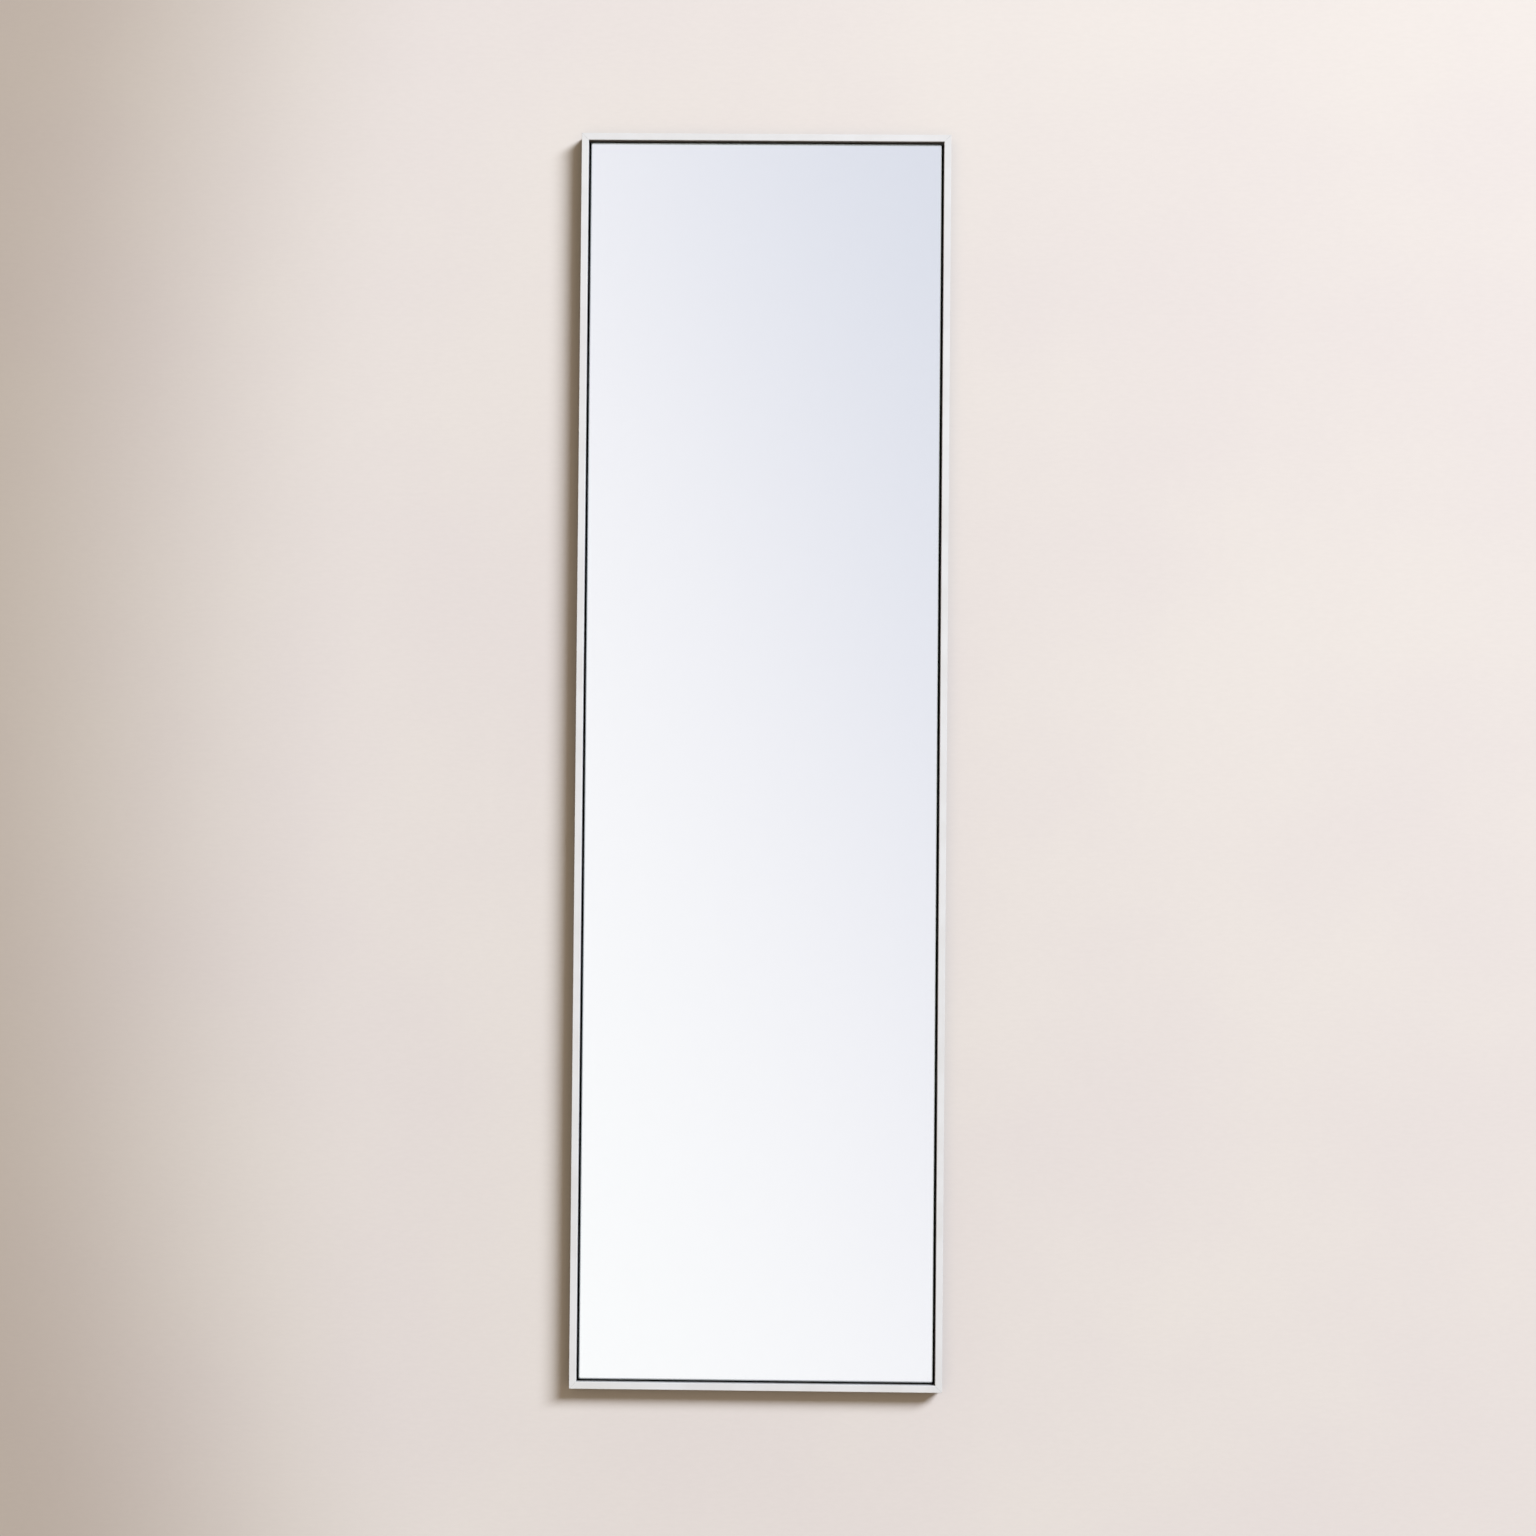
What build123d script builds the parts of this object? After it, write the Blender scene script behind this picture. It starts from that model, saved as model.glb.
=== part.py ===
from build123d import *
import math
import os

# A tall wall mirror in a slim metal frame, in millimetres.
# +X is to the right of someone facing it, +Z is up, and the glass faces -Y.
# The wall is the plane Y = 0, and the origin is on it, behind the middle of the mirror.

# Frame rails: a narrow box tube with a flange behind the glass
frame_width = 450.0
frame_height = 1524.0
rail_depth = 25.0
rail_face = 8.5
rail_wall = 1.6
rail_edge_radius = 0.4
rail_lip_radius = 1.0
flange_width = 22.0
flange_thickness = 1.8

# Layers between the front of the rails and the flanges, from the front
glass_setback = 4.0
glass_thickness = 4.0
coating_thickness = 0.1
tape_thickness = 1.5
board_thickness = 6.0
seal_thickness = 1.0

# Outlines of the layers
shadow_gap = 3.0
glass_seam = 0.5
board_inset = 1.0
tape_width = 25.0
tape_margin = 40.0
tape_count = 3

# Corner keys inside the tubes
key_leg = 40.0
key_clearance = 0.15
key_chamfer = 1.0

# Corner screws, countersunk machine screws
corner_screw_diameter = 3.0
corner_screw_length = 10.0
corner_head_diameter = 5.5

# Panel screws, through the flanges into the board
panel_screw_diameter = 3.5
panel_screw_length = 8.0
panel_head_diameter = 7.0
panel_head_height = 2.4
side_screw_count = 5
side_screw_end = 60.0
end_screw_count = 2
end_screw_pitch = 200.0

# Ring hangers: a strip folded round the bar of a wire ring
hanger_drop = 220.0
strap_width = 12.0
strap_thickness = 1.2
strap_end_radius = 3.0
strap_tail = 7.0
strap_neck_radius = 1.5
fold_gap = 0.1
ring_wire = 3.0
ring_width = 17.0
ring_reach = 14.0
ring_bend_radius = 2.5
ring_rest_gap = 0.3

# Hanger screws, through the straps and flanges into the board
hanger_screw_diameter = 4.0
hanger_screw_length = 10.0
hanger_head_diameter = 7.6
hanger_head_height = 2.5
hanger_screw_start = 22.0
hanger_screw_pitch = 15.0
hanger_screw_count = 2

# Screw heads and points, as shares of the screw's own sizes
pan_rim_share = 0.3
cross_span_share = 0.5
cross_slot_share = 0.1
cross_depth_share = 0.6
point_share = 1.2

# Rubber bumpers between the rails and the wall
bumper_height = 2.0
bumper_diameter = 8.0
bumper_rounding = 0.5
bumper_end = 90.0

# Fits
pin_clearance = 0.05
pilot_clearance = 0.05
through_clearance = 0.25
countersink_clearance = 0.1
screw_tip_room = 0.5

# Depths along Y, from the front of the rails to the wall
rail_front = -(bumper_height + rail_depth)
rail_rear = -bumper_height
glass_front = rail_front + glass_setback
coating_front = glass_front + glass_thickness
tape_front = coating_front + coating_thickness
board_front = tape_front + tape_thickness
board_rear = board_front + board_thickness
flange_front = board_rear + seal_thickness
flange_rear = flange_front + flange_thickness
strap_rear = flange_rear + 2 * strap_thickness

# Outlines that follow from the rails
glass_width = frame_width - 2 * (rail_face + shadow_gap)
glass_height = frame_height - 2 * (rail_face + shadow_gap)
board_width = glass_width - 2 * board_inset
board_height = glass_height - 2 * board_inset
chamber_width = rail_face - 2 * rail_wall
chamber_depth = rail_depth - 2 * rail_wall
key_width = chamber_width - 2 * key_clearance
key_depth = chamber_depth - 2 * key_clearance

# Rows of fasteners, measured from the middle of the frame
flange_line = rail_face + flange_width / 2
fastener_x = frame_width / 2 - flange_line
fastener_z = frame_height / 2 - flange_line
tube_x = frame_width / 2 - rail_face / 2
tube_z = frame_height / 2 - rail_face / 2
key_screw_end = (rail_face + rail_wall + key_clearance + key_leg) / 2
hanger_z = frame_height / 2 - hanger_drop
corners = [(side, end) for end in (1, -1) for side in (-1, 1)]

# The eye of a strap round the bar of its ring, and how far the ring hangs off the strap
ring_radius = ring_wire / 2
eye_inner = ring_radius + pin_clearance
eye_outer = eye_inner + strap_thickness
ring_y = flange_rear + eye_outer
ring_rest_angle = math.asin((2 * strap_thickness + ring_rest_gap + ring_radius - eye_outer) / ring_reach)

os.makedirs("parts", exist_ok=True)


def facing_wall(y):
    """Plane at depth y whose normal points to the wall, with Z up."""
    return Plane(origin=(0, y, 0), x_dir=(-1, 0, 0), z_dir=(0, 1, 0))


def row(count, pitch):
    """Places of a number of things in a row, centred on zero."""
    return [(i - (count - 1) / 2) * pitch for i in range(count)]


def save(part, label):
    """Label a finished piece and write it under its name."""
    part.label = label
    export_step(part, f"parts/{label}.step")


# Places of the fasteners, as (x, z) in a plane that faces the wall
side_screw_pitch = (frame_height - 2 * side_screw_end) / (side_screw_count - 1)
panel_screw_places = [
    (side * fastener_x, z)
    for side in (-1, 1)
    for z in row(side_screw_count, side_screw_pitch)
] + [
    (x, end * fastener_z)
    for end in (-1, 1)
    for x in row(end_screw_count, end_screw_pitch)
]
hanger_screw_drops = [hanger_screw_start + i * hanger_screw_pitch for i in range(hanger_screw_count)]
hanger_screw_places = [
    (side * fastener_x, hanger_z - drop)
    for side in (-1, 1)
    for drop in hanger_screw_drops
]
corner_screw_places = [
    (side * (frame_width / 2 - key_screw_end), end * tube_z) for side, end in corners
] + [
    (side * tube_x, end * (frame_height / 2 - key_screw_end)) for side, end in corners
]

# Each side of the frame: its inward direction, the frame's size across it, and its own length
sides = {
    "top": (Vector(0, 0, -1), frame_height, frame_width),
    "bottom": (Vector(0, 0, 1), frame_height, frame_width),
    "left": (Vector(1, 0, 0), frame_width, frame_height),
    "right": (Vector(-1, 0, 0), frame_width, frame_height),
}

# Four rails, alike in section and mitred at both ends
for side, (inward, span, length) in sides.items():
    along = inward.cross(Vector(0, 1, 0))
    outer_edge = inward * (-span / 2) + Vector(0, rail_front, 0)
    section = Plane(origin=outer_edge, x_dir=inward, z_dir=along)
    with BuildPart() as rail:
        with BuildSketch(section) as tube:
            Rectangle(rail_face, rail_depth, align=Align.MIN)
            lip = (rail_face, 0, 0)
            fillet(tube.vertices().sort_by_distance(lip)[:1], rail_lip_radius)
            fillet(tube.vertices().sort_by_distance(lip)[2:], rail_edge_radius)
            with Locations((rail_face - rail_wall / 2, flange_front - rail_front)):
                Rectangle(flange_width + rail_wall / 2, flange_thickness, align=Align.MIN)
            with Locations((rail_wall, rail_wall)):
                Rectangle(chamber_width, chamber_depth, align=Align.MIN, mode=Mode.SUBTRACT)
        extrude(amount=length / 2, both=True)
        for end in (-1, 1):
            corner = outer_edge + along * (end * length / 2)
            mitre = Plane(origin=corner, z_dir=inward + along * end)
            split(bisect_by=mitre, keep=Keep.BOTTOM)
        with Locations(facing_wall(flange_rear)):
            with Locations(*panel_screw_places):
                Hole(panel_screw_diameter / 2 + through_clearance, flange_thickness + seal_thickness)
            with Locations(*hanger_screw_places):
                Hole(hanger_screw_diameter / 2 + through_clearance, flange_thickness + seal_thickness)
        with Locations(facing_wall(rail_rear)):
            with Locations(*corner_screw_places):
                CounterSinkHole(
                    radius=corner_screw_diameter / 2 + countersink_clearance,
                    counter_sink_radius=corner_head_diameter / 2 + countersink_clearance,
                    counter_sink_angle=90,
                    depth=rail_wall + key_clearance,
                )
    save(rail.part, f"{side}_rail")

# Four L-shaped keys, one in each corner, with a leg in each of its two tubes
key_inset = rail_wall + key_clearance
for number, (side, end) in enumerate(corners, start=1):
    key_heel = (
        side * (frame_width / 2 - key_inset),
        rail_front + rail_depth / 2,
        end * (frame_height / 2 - key_inset),
    )
    key_plane = Plane(origin=key_heel, x_dir=(-side, 0, 0), z_dir=(0, -side * end, 0))
    with BuildPart() as corner_key:
        with BuildSketch(key_plane) as legs:
            Rectangle(key_leg, key_width, align=Align.MIN)
            Rectangle(key_width, key_leg, align=Align.MIN)
            leg_tips = legs.vertices().group_by(Axis.X)[-1] + legs.vertices().group_by(Axis.Y)[-1]
            heel = legs.vertices().sort_by_distance((0, 0))[0]
            chamfer(leg_tips + [heel], key_chamfer)
        extrude(amount=key_depth / 2, both=True)
        with Locations(facing_wall(rail_rear)):
            with Locations(*corner_screw_places):
                Hole(corner_screw_diameter / 2 + pilot_clearance, corner_screw_length + screw_tip_room)
    save(corner_key.part, f"corner_key_{number}")

# Sheet of float glass with its edges seamed
with BuildPart() as mirror_glass:
    with BuildSketch(facing_wall(glass_front)):
        Rectangle(glass_width, glass_height)
    extrude(amount=glass_thickness)
    chamfer(mirror_glass.faces().filter_by(Axis.Y).edges(), glass_seam)
save(mirror_glass.part, "mirror_glass")

# Silver and its backing paint, on the rear face of the glass inside the seam
with BuildPart() as silver_coating:
    with BuildSketch(facing_wall(coating_front)):
        Rectangle(glass_width - 2 * glass_seam, glass_height - 2 * glass_seam)
    extrude(amount=coating_thickness)
save(silver_coating.part, "silver_coating")

# Upright strips of foam tape that bond the glass to the board
tape_pitch = (glass_width - 2 * tape_margin - tape_width) / (tape_count - 1)
with BuildPart() as mounting_tape:
    with BuildSketch(facing_wall(tape_front)):
        with GridLocations(tape_pitch, 0, tape_count, 1):
            Rectangle(tape_width, glass_height - 2 * tape_margin)
    extrude(amount=tape_thickness)
save(mounting_tape.part, "mounting_tape")

# Fibreboard panel that carries the glass, with pilot holes in its rear face
panel_screw_grip = flange_thickness + seal_thickness
hanger_screw_grip = 2 * strap_thickness + flange_thickness + seal_thickness
with BuildPart() as carrier_board:
    with BuildSketch(facing_wall(board_front)):
        Rectangle(board_width, board_height)
    extrude(amount=board_thickness)
    with Locations(facing_wall(board_rear)):
        with Locations(*panel_screw_places):
            Hole(
                panel_screw_diameter / 2 + pilot_clearance,
                panel_screw_length - panel_screw_grip + screw_tip_room,
            )
        with Locations(*hanger_screw_places):
            Hole(
                hanger_screw_diameter / 2 + pilot_clearance,
                hanger_screw_length - hanger_screw_grip + screw_tip_room,
            )
save(carrier_board.part, "carrier_board")

# Four foam strips between the board and the flanges, butted at the corners
seal_end_cut = {"top": flange_width, "bottom": flange_width, "left": 0, "right": 0}
for side, (inward, span, length) in sides.items():
    along = inward.cross(Vector(0, 1, 0))
    inner_face = inward * (rail_face - span / 2) + Vector(0, board_rear, 0)
    section = Plane(origin=inner_face, x_dir=inward, z_dir=along)
    with BuildPart() as gap_seal:
        with BuildSketch(section):
            Rectangle(flange_width, seal_thickness, align=Align.MIN)
        extrude(amount=length / 2 - rail_face - seal_end_cut[side], both=True)
        with Locations(facing_wall(flange_front)):
            with Locations(*panel_screw_places):
                Hole(panel_screw_diameter / 2 + through_clearance, seal_thickness)
            with Locations(*hanger_screw_places):
                Hole(hanger_screw_diameter / 2 + through_clearance, seal_thickness)
    save(gap_seal.part, f"gap_seal_{side}")


def cross_recess(head_diameter, depth):
    """Cut a cross for the driver, down from the place where it is called."""
    span = head_diameter * cross_span_share
    slot = head_diameter * cross_slot_share
    for length, width in ((span, slot), (slot, span)):
        Box(length, width, depth, align=(Align.CENTER, Align.CENTER, Align.MAX), mode=Mode.SUBTRACT)


def pan_head_screw(diameter, length, head_diameter, head_height):
    """Wood screw with its head's seat at Z = 0 and its point down."""
    rim = head_height * pan_rim_share
    with BuildPart() as screw:
        with BuildSketch(Plane.XZ):
            with BuildLine():
                Polyline(
                    (0, head_height),
                    (0, -length),
                    (diameter / 2, diameter * point_share - length),
                    (diameter / 2, 0),
                    (head_diameter / 2, 0),
                    (head_diameter / 2, rim),
                )
                TangentArc((0, head_height), (head_diameter / 2, rim), tangent=(1, 0))
            make_face()
        revolve(axis=Axis.Z)
        with Locations((0, 0, head_height)):
            cross_recess(head_diameter, head_height * cross_depth_share)
    return screw.part


def countersunk_screw(diameter, length, head_diameter):
    """Machine screw with the flat top of its head at Z = 0 and its shank down."""
    cone = (head_diameter - diameter) / 2
    with BuildPart() as screw:
        with BuildSketch(Plane.XZ):
            with BuildLine():
                Polyline(
                    (0, 0),
                    (0, -length),
                    (diameter / 2, -length),
                    (diameter / 2, -cone),
                    (head_diameter / 2, 0),
                    (0, 0),
                )
            make_face()
        revolve(axis=Axis.Z)
        cross_recess(head_diameter, cone * cross_depth_share)
    return screw.part


# Screws, seated on the planes that their heads bear on
corner_screw = countersunk_screw(corner_screw_diameter, corner_screw_length, corner_head_diameter)
with BuildPart() as corner_screws:
    with Locations(facing_wall(rail_rear)):
        with Locations(*corner_screw_places):
            add(corner_screw)
save(corner_screws.part, "corner_screws")

panel_screw = pan_head_screw(
    panel_screw_diameter, panel_screw_length, panel_head_diameter, panel_head_height
)
with BuildPart() as panel_screws:
    with Locations(facing_wall(flange_rear)):
        with Locations(*panel_screw_places):
            add(panel_screw)
save(panel_screws.part, "panel_screws")

hanger_screw = pan_head_screw(
    hanger_screw_diameter, hanger_screw_length, hanger_head_diameter, hanger_head_height
)
with BuildPart() as hanger_screws:
    with Locations(facing_wall(strap_rear)):
        with Locations(*hanger_screw_places):
            add(hanger_screw)
save(hanger_screws.part, "hanger_screws")

# Two hangers: the strip is folded double, and its fold is the eye that the ring turns in
strap_length = hanger_screw_drops[-1] + strap_tail
neck_z = -math.sqrt(eye_outer**2 - (eye_outer - 2 * strap_thickness) ** 2)
for side, name in ((-1, "left"), (1, "right")):
    fold_plane = Plane(
        origin=(side * fastener_x, flange_rear, hanger_z), x_dir=(0, 1, 0), z_dir=(1, 0, 0)
    )
    with BuildPart() as hanger_strap:
        with BuildSketch(fold_plane) as fold:
            with BuildLine():
                Line((0, -strap_length), (0, 0))
                ThreePointArc((0, 0), (2 * eye_outer, 0), (2 * strap_thickness, neck_z))
                Polyline(
                    (2 * strap_thickness, neck_z),
                    (2 * strap_thickness, -strap_length),
                    (0, -strap_length),
                )
            make_face()
            neck = fold.vertices().sort_by_distance((2 * strap_thickness, neck_z))[0]
            fillet(neck, strap_neck_radius)
            with Locations((strap_thickness, 0)):
                Rectangle(fold_gap, strap_length, align=(Align.CENTER, Align.MAX), mode=Mode.SUBTRACT)
            with Locations((eye_outer, 0)):
                Circle(eye_inner, mode=Mode.SUBTRACT)
        extrude(amount=strap_width / 2, both=True)
        bottom_corners = hanger_strap.edges().filter_by(Axis.Y).group_by(Axis.Z)[0]
        fillet(bottom_corners, strap_end_radius)
        with Locations(facing_wall(strap_rear)):
            with Locations(*hanger_screw_places):
                Hole(hanger_screw_diameter / 2 + through_clearance, 2 * strap_thickness)
    save(hanger_strap.part, f"hanger_strap_{name}")

    # The ring hangs down from the eye, its bow resting off the strap
    ring_plane = Plane(
        origin=(side * fastener_x, ring_y, hanger_z),
        x_dir=(1, 0, 0),
        z_dir=(0, math.cos(ring_rest_angle), math.sin(ring_rest_angle)),
    )
    half = ring_width / 2
    with BuildPart() as d_ring:
        with BuildLine(ring_plane) as loop:
            bar = Line((ring_bend_radius - half, 0), (half - ring_bend_radius, 0))
            bend = TangentArc(bar @ 1, (half, ring_bend_radius), tangent=bar % 1)
            leg = Line(bend @ 1, (half, ring_reach - half))
            bow = TangentArc(leg @ 1, (-half, ring_reach - half), tangent=leg % 1)
            return_leg = Line(bow @ 1, (-half, ring_bend_radius))
            TangentArc(return_leg @ 1, bar @ 0, tangent=return_leg % 1)
        with BuildSketch(Plane(origin=bar @ 0, z_dir=bar % 0)):
            Circle(ring_radius)
        sweep()
    save(d_ring.part, f"d_ring_{name}")

# Four rubber dots on the rear faces of the side rails
with BuildPart() as wall_bumpers:
    with BuildSketch(facing_wall(rail_rear)):
        with GridLocations(2 * tube_x, frame_height - 2 * bumper_end, 2, 2):
            Circle(bumper_diameter / 2)
    extrude(amount=bumper_height)
    fillet(wall_bumpers.faces().group_by(Axis.Y)[-1].edges(), bumper_rounding)
save(wall_bumpers.part, "wall_bumpers")
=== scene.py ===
import bpy
import math
from mathutils import Matrix, Vector


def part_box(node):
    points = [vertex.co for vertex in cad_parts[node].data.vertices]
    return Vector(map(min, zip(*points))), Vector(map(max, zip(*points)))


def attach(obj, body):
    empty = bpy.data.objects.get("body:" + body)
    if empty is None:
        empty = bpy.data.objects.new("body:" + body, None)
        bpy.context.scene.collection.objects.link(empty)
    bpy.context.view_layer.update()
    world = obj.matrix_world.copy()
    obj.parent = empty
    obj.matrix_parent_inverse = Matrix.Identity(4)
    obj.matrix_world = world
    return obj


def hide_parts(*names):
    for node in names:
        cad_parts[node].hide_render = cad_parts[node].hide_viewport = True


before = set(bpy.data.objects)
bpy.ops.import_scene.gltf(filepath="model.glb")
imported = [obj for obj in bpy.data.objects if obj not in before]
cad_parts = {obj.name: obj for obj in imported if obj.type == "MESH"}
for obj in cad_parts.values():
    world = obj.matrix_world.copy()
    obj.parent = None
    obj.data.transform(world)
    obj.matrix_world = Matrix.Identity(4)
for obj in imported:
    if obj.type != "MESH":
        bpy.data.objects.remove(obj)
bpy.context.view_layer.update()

# The camera stands four metres in front of the mirror, a little below its middle and to its right.
# It looks slightly up and to the left, and leans by half a degree.
camera_place = (0.072, -4.027, -0.114)
camera_turn = math.radians(0.906)
camera_pitch = math.radians(1.482)
camera_lean = math.radians(0.510)
camera_lens = 77.4
camera_sensor = 36.0

camera_data = bpy.data.cameras.new("camera")
camera_data.lens = camera_lens
camera_data.sensor_width = camera_sensor
camera = bpy.data.objects.new("camera", camera_data)
bpy.context.scene.collection.objects.link(camera)
camera.matrix_world = (
    Matrix.Translation(camera_place)
    @ Matrix.Rotation(camera_turn, 4, "Z")
    @ Matrix.Rotation(math.radians(90) + camera_pitch, 4, "X")
    @ Matrix.Rotation(camera_lean, 4, "Z")
)
bpy.context.scene.camera = camera
bpy.context.scene.view_settings.view_transform = "Standard"

# Frame rails: four lengths of extruded aluminium box section with a flange behind the glass, mitred
# at the corners and coated in white powder. The coat has a fine orange peel, is thin on the sharp
# edges, and shows a hairline where two rails meet.
coat_white = (238, 239, 240)
coat_shade = (233, 233, 233)
coat_thin = (222, 223, 223)
mitre_dirt = (96, 92, 86)
coat_gloss = (0.38, 0.52)
coat_cloud_size = 0.05
peel_size = 0.0016
peel_depth = 0.00001
speck_size = 0.00035
speck_depth = 0.000003
edge_wear_width = 0.0007
mitre_width = 0.00014
wear_range = (0.45, 0.65)
mild_contrast = (0.35, 0.65)
gentle_contrast = (0.3, 0.7)
frame_low, frame_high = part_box("left_rail")[0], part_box("right_rail")[1]
frame_half_width = frame_high[0]
frame_half_height = frame_high[2]
frame_front = frame_low[1]


def shade(red, green, blue):
    """A colour as the eye reads it, from 0 to 255, turned into light."""
    parts = [part / 255 for part in (red, green, blue)]
    light = [part / 12.92 if part < 0.04045 else ((part + 0.055) / 1.055) ** 2.4 for part in parts]
    return (*light, 1.0)


def new_finish(name):
    """An empty finish and its shader, with the place on the object for its patterns."""
    finish = bpy.data.materials.new(name)
    finish.use_nodes = True
    shader = finish.node_tree.nodes["Principled BSDF"]
    place = finish.node_tree.nodes.new("ShaderNodeTexCoord").outputs["Object"]
    return finish, shader, place


def add_node(finish, kind, inputs, **settings):
    """A node with its settings, whose inputs are values or the outputs of other nodes."""
    tree = finish.node_tree
    node = tree.nodes.new(kind)
    for name, value in settings.items():
        setattr(node, name, value)
    for name, value in inputs.items():
        if isinstance(value, bpy.types.NodeSocket):
            tree.links.new(value, node.inputs[name])
        else:
            node.inputs[name].default_value = value
    return node


def sums(finish, operation, *values):
    """One step of arithmetic on numbers or outputs."""
    node = add_node(finish, "ShaderNodeMath", dict(enumerate(values)), operation=operation)
    return node.outputs[0]


def grain(finish, place, size, roughness=0.5, detail=2.0, stretch=(1, 1, 1)):
    """Noise whose lumps are about this many metres across, drawn out along an axis by stretch."""
    scale = tuple(1 / part for part in stretch)
    drawn = add_node(finish, "ShaderNodeMapping", {"Vector": place, "Scale": scale})
    settings = {"Vector": drawn.outputs[0], "Scale": 1 / size, "Detail": detail, "Roughness": roughness}
    return add_node(finish, "ShaderNodeTexNoise", settings).outputs["Fac"]


def between(finish, value, start, end, low=0.0, high=1.0):
    """Carries a value from one range to another, smoothly and without passing its ends."""
    ends = {"Value": value, "From Min": start, "From Max": end, "To Min": low, "To Max": high}
    kind = "ShaderNodeMapRange"
    return add_node(finish, kind, ends, interpolation_type="SMOOTHSTEP").outputs["Result"]


def blend(finish, share, first, second):
    """Two colours mixed by a share from 0 to 1."""
    node = add_node(finish, "ShaderNodeMix", {}, data_type="RGBA")
    tree = finish.node_tree
    for socket, value in zip((node.inputs[0], node.inputs[6], node.inputs[7]), (share, first, second)):
        if isinstance(value, bpy.types.NodeSocket):
            tree.links.new(value, socket)
        else:
            socket.default_value = value
    return node.outputs[2]


def relief(finish, height, depth, under=None):
    """Bumps of this depth in metres, on top of any bumps under them."""
    inputs = {"Height": height, "Distance": depth}
    if under:
        inputs["Normal"] = under
    return add_node(finish, "ShaderNodeBump", inputs).outputs["Normal"]


def connect(finish, shader, **outputs):
    """Joins outputs to the shader's sockets, named with lines for spaces."""
    for name, output in outputs.items():
        finish.node_tree.links.new(output, shader.inputs[name.replace("_", " ")])


def dress(finish, *names):
    """Gives a finish to whole pieces of the construction."""
    for name in names:
        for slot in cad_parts[name].material_slots:
            slot.material = finish


def distances(finish, place):
    """Size of X, plain Y and size of Z at a place on the object."""
    split = add_node(finish, "ShaderNodeSeparateXYZ", {"Vector": place})
    across = sums(finish, "ABSOLUTE", split.outputs["X"])
    upward = sums(finish, "ABSOLUTE", split.outputs["Z"])
    return across, split.outputs["Y"], upward


white_coat, coat_shader, on_rail = new_finish("white powder coat")
across, depth, upward = distances(white_coat, on_rail)
from_side = sums(white_coat, "SUBTRACT", frame_half_width, across)
from_end = sums(white_coat, "SUBTRACT", frame_half_height, upward)
from_outline = sums(white_coat, "MINIMUM", from_side, from_end)
from_front = sums(white_coat, "SUBTRACT", depth, frame_front)
from_arris = sums(white_coat, "ADD", sums(white_coat, "ABSOLUTE", from_outline), from_front)
cloudy = grain(white_coat, on_rail, coat_cloud_size, detail=4.0)
peel = grain(white_coat, on_rail, peel_size)
specks = grain(white_coat, on_rail, speck_size, detail=4.0)
arris = between(white_coat, from_arris, edge_wear_width, 0.0)
thin = sums(white_coat, "MULTIPLY", arris, between(white_coat, peel, *wear_range))
mitre = sums(white_coat, "ABSOLUTE", sums(white_coat, "SUBTRACT", from_side, from_end))
hairline = between(white_coat, mitre, mitre_width, 0.0)
cloud_share = between(white_coat, cloudy, *mild_contrast)
body_colour = blend(white_coat, cloud_share, shade(*coat_white), shade(*coat_shade))
worn_colour = blend(white_coat, thin, body_colour, shade(*coat_thin))
coat_colour = blend(white_coat, hairline, worn_colour, shade(*mitre_dirt))
coat_relief = relief(white_coat, peel, peel_depth)
coat_relief = relief(white_coat, specks, speck_depth, coat_relief)
coat_shine = between(white_coat, specks, *gentle_contrast, *coat_gloss)
connect(white_coat, coat_shader, Base_Color=coat_colour, Roughness=coat_shine, Normal=coat_relief)
dress(white_coat, "top_rail", "bottom_rail", "left_rail", "right_rail")

# Corner keys: L-shaped zinc castings that slide into two tubes and hold the mitre. They are left
# as cast, dull and slightly pitted.
cast_light = (164, 165, 167)
cast_dark = (126, 127, 130)
cast_gloss = (0.42, 0.62)
cast_metal = 0.85
cast_flow_size = 0.012
cast_grain = 0.0009
cast_depth = 0.00004
cast_skin_lift = 0.5

die_cast, cast_shader, on_key = new_finish("die cast zinc")
cast_flow = grain(die_cast, on_key, cast_flow_size, detail=5.0, roughness=0.6)
cast_skin = grain(die_cast, on_key, cast_grain, detail=3.0)
cast_mix = sums(die_cast, "MULTIPLY", cast_flow, sums(die_cast, "ADD", cast_skin, cast_skin_lift))
cast_share = between(die_cast, cast_mix, *gentle_contrast)
cast_shader.inputs["Metallic"].default_value = cast_metal
connect(
    die_cast,
    cast_shader,
    Base_Color=blend(die_cast, cast_share, shade(*cast_dark), shade(*cast_light)),
    Roughness=between(die_cast, cast_flow, *gentle_contrast, *cast_gloss),
    Normal=relief(die_cast, cast_skin, cast_depth),
)
dress(die_cast, *(f"corner_key_{number}" for number in range(1, 5)))

# Corner screws: countersunk machine screws of zinc-plated steel, two in each corner. They go
# through the rear walls of the tubes into the keys, and their heads lie flush.
zinc_light = (196, 199, 204)
zinc_dark = (158, 162, 170)
zinc_gloss = (0.24, 0.4)
zinc_cloud_size = 0.003
zinc_skin_size = 0.0004
zinc_skin_depth = 0.000006
mm = 0.001
corner_thread = 1.5
corner_core = 1.2
corner_length = 10.0
corner_head = 2.75
corner_pitch = 0.5
corner_end_middle = 0.5
corner_end_bevel = (0.2, 0.25)
corner_neck = 0.3
corner_rim = 0.05
corner_rim_low = 0.08
corner_rim_high = 0.03
corner_face_share = 0.8
corner_thread_start = 0.4
corner_thread_end = 0.3
recess_share = 0.6
recess_wing_share = 0.13
recess_depth_share = 0.62
recess_floor_along = 0.45
recess_floor_beside = 0.7
ridge_half_share = 0.38
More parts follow.
